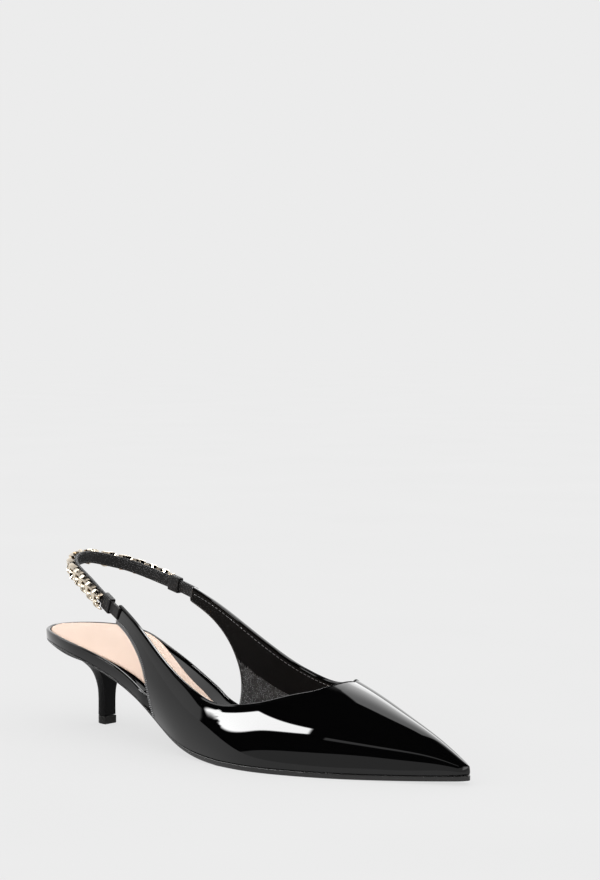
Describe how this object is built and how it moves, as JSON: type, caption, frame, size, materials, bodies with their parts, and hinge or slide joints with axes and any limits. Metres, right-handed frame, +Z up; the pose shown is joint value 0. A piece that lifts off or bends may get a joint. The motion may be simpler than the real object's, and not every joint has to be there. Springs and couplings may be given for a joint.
{
  "type": "slingback pump",
  "caption": "Right women's slingback pump in black patent leather, with a pointed toe, a kitten heel and a pale-gold chevron chain on the sling strap.",
  "frame": {"origin": "centre of the top lift's underside, where the heel stands on the floor", "axes": "+X toward the toe, +Y toward the medial side of the foot, +Z up"},
  "size_m": [0.2575, 0.075, 0.0836],
  "materials": {
    "patent_leather": "high gloss patent",
    "patent_cover": "high gloss patent cover on board",
    "leather_sole": "burnished, satin",
    "nude_lining": "smooth, matt",
    "heel_cover": "gloss",
    "lift_rubber": "matt",
    "kid_leather": "soft, satin",
    "pale_gold": "polished pale gold"
  },
  "bodies": {
    "root": {"upper": "patent_leather", "outsole": "leather_sole", "insole_board": "patent_cover", "sock_lining": "nude_lining", "heel": "heel_cover", "top_lift": "lift_rubber", "sling_strap": "kid_leather", "keeper_lateral": "kid_leather", "keeper_medial": "kid_leather", "chain": "pale_gold", "chain_bar": "pale_gold"}
  },
  "joints": []
}
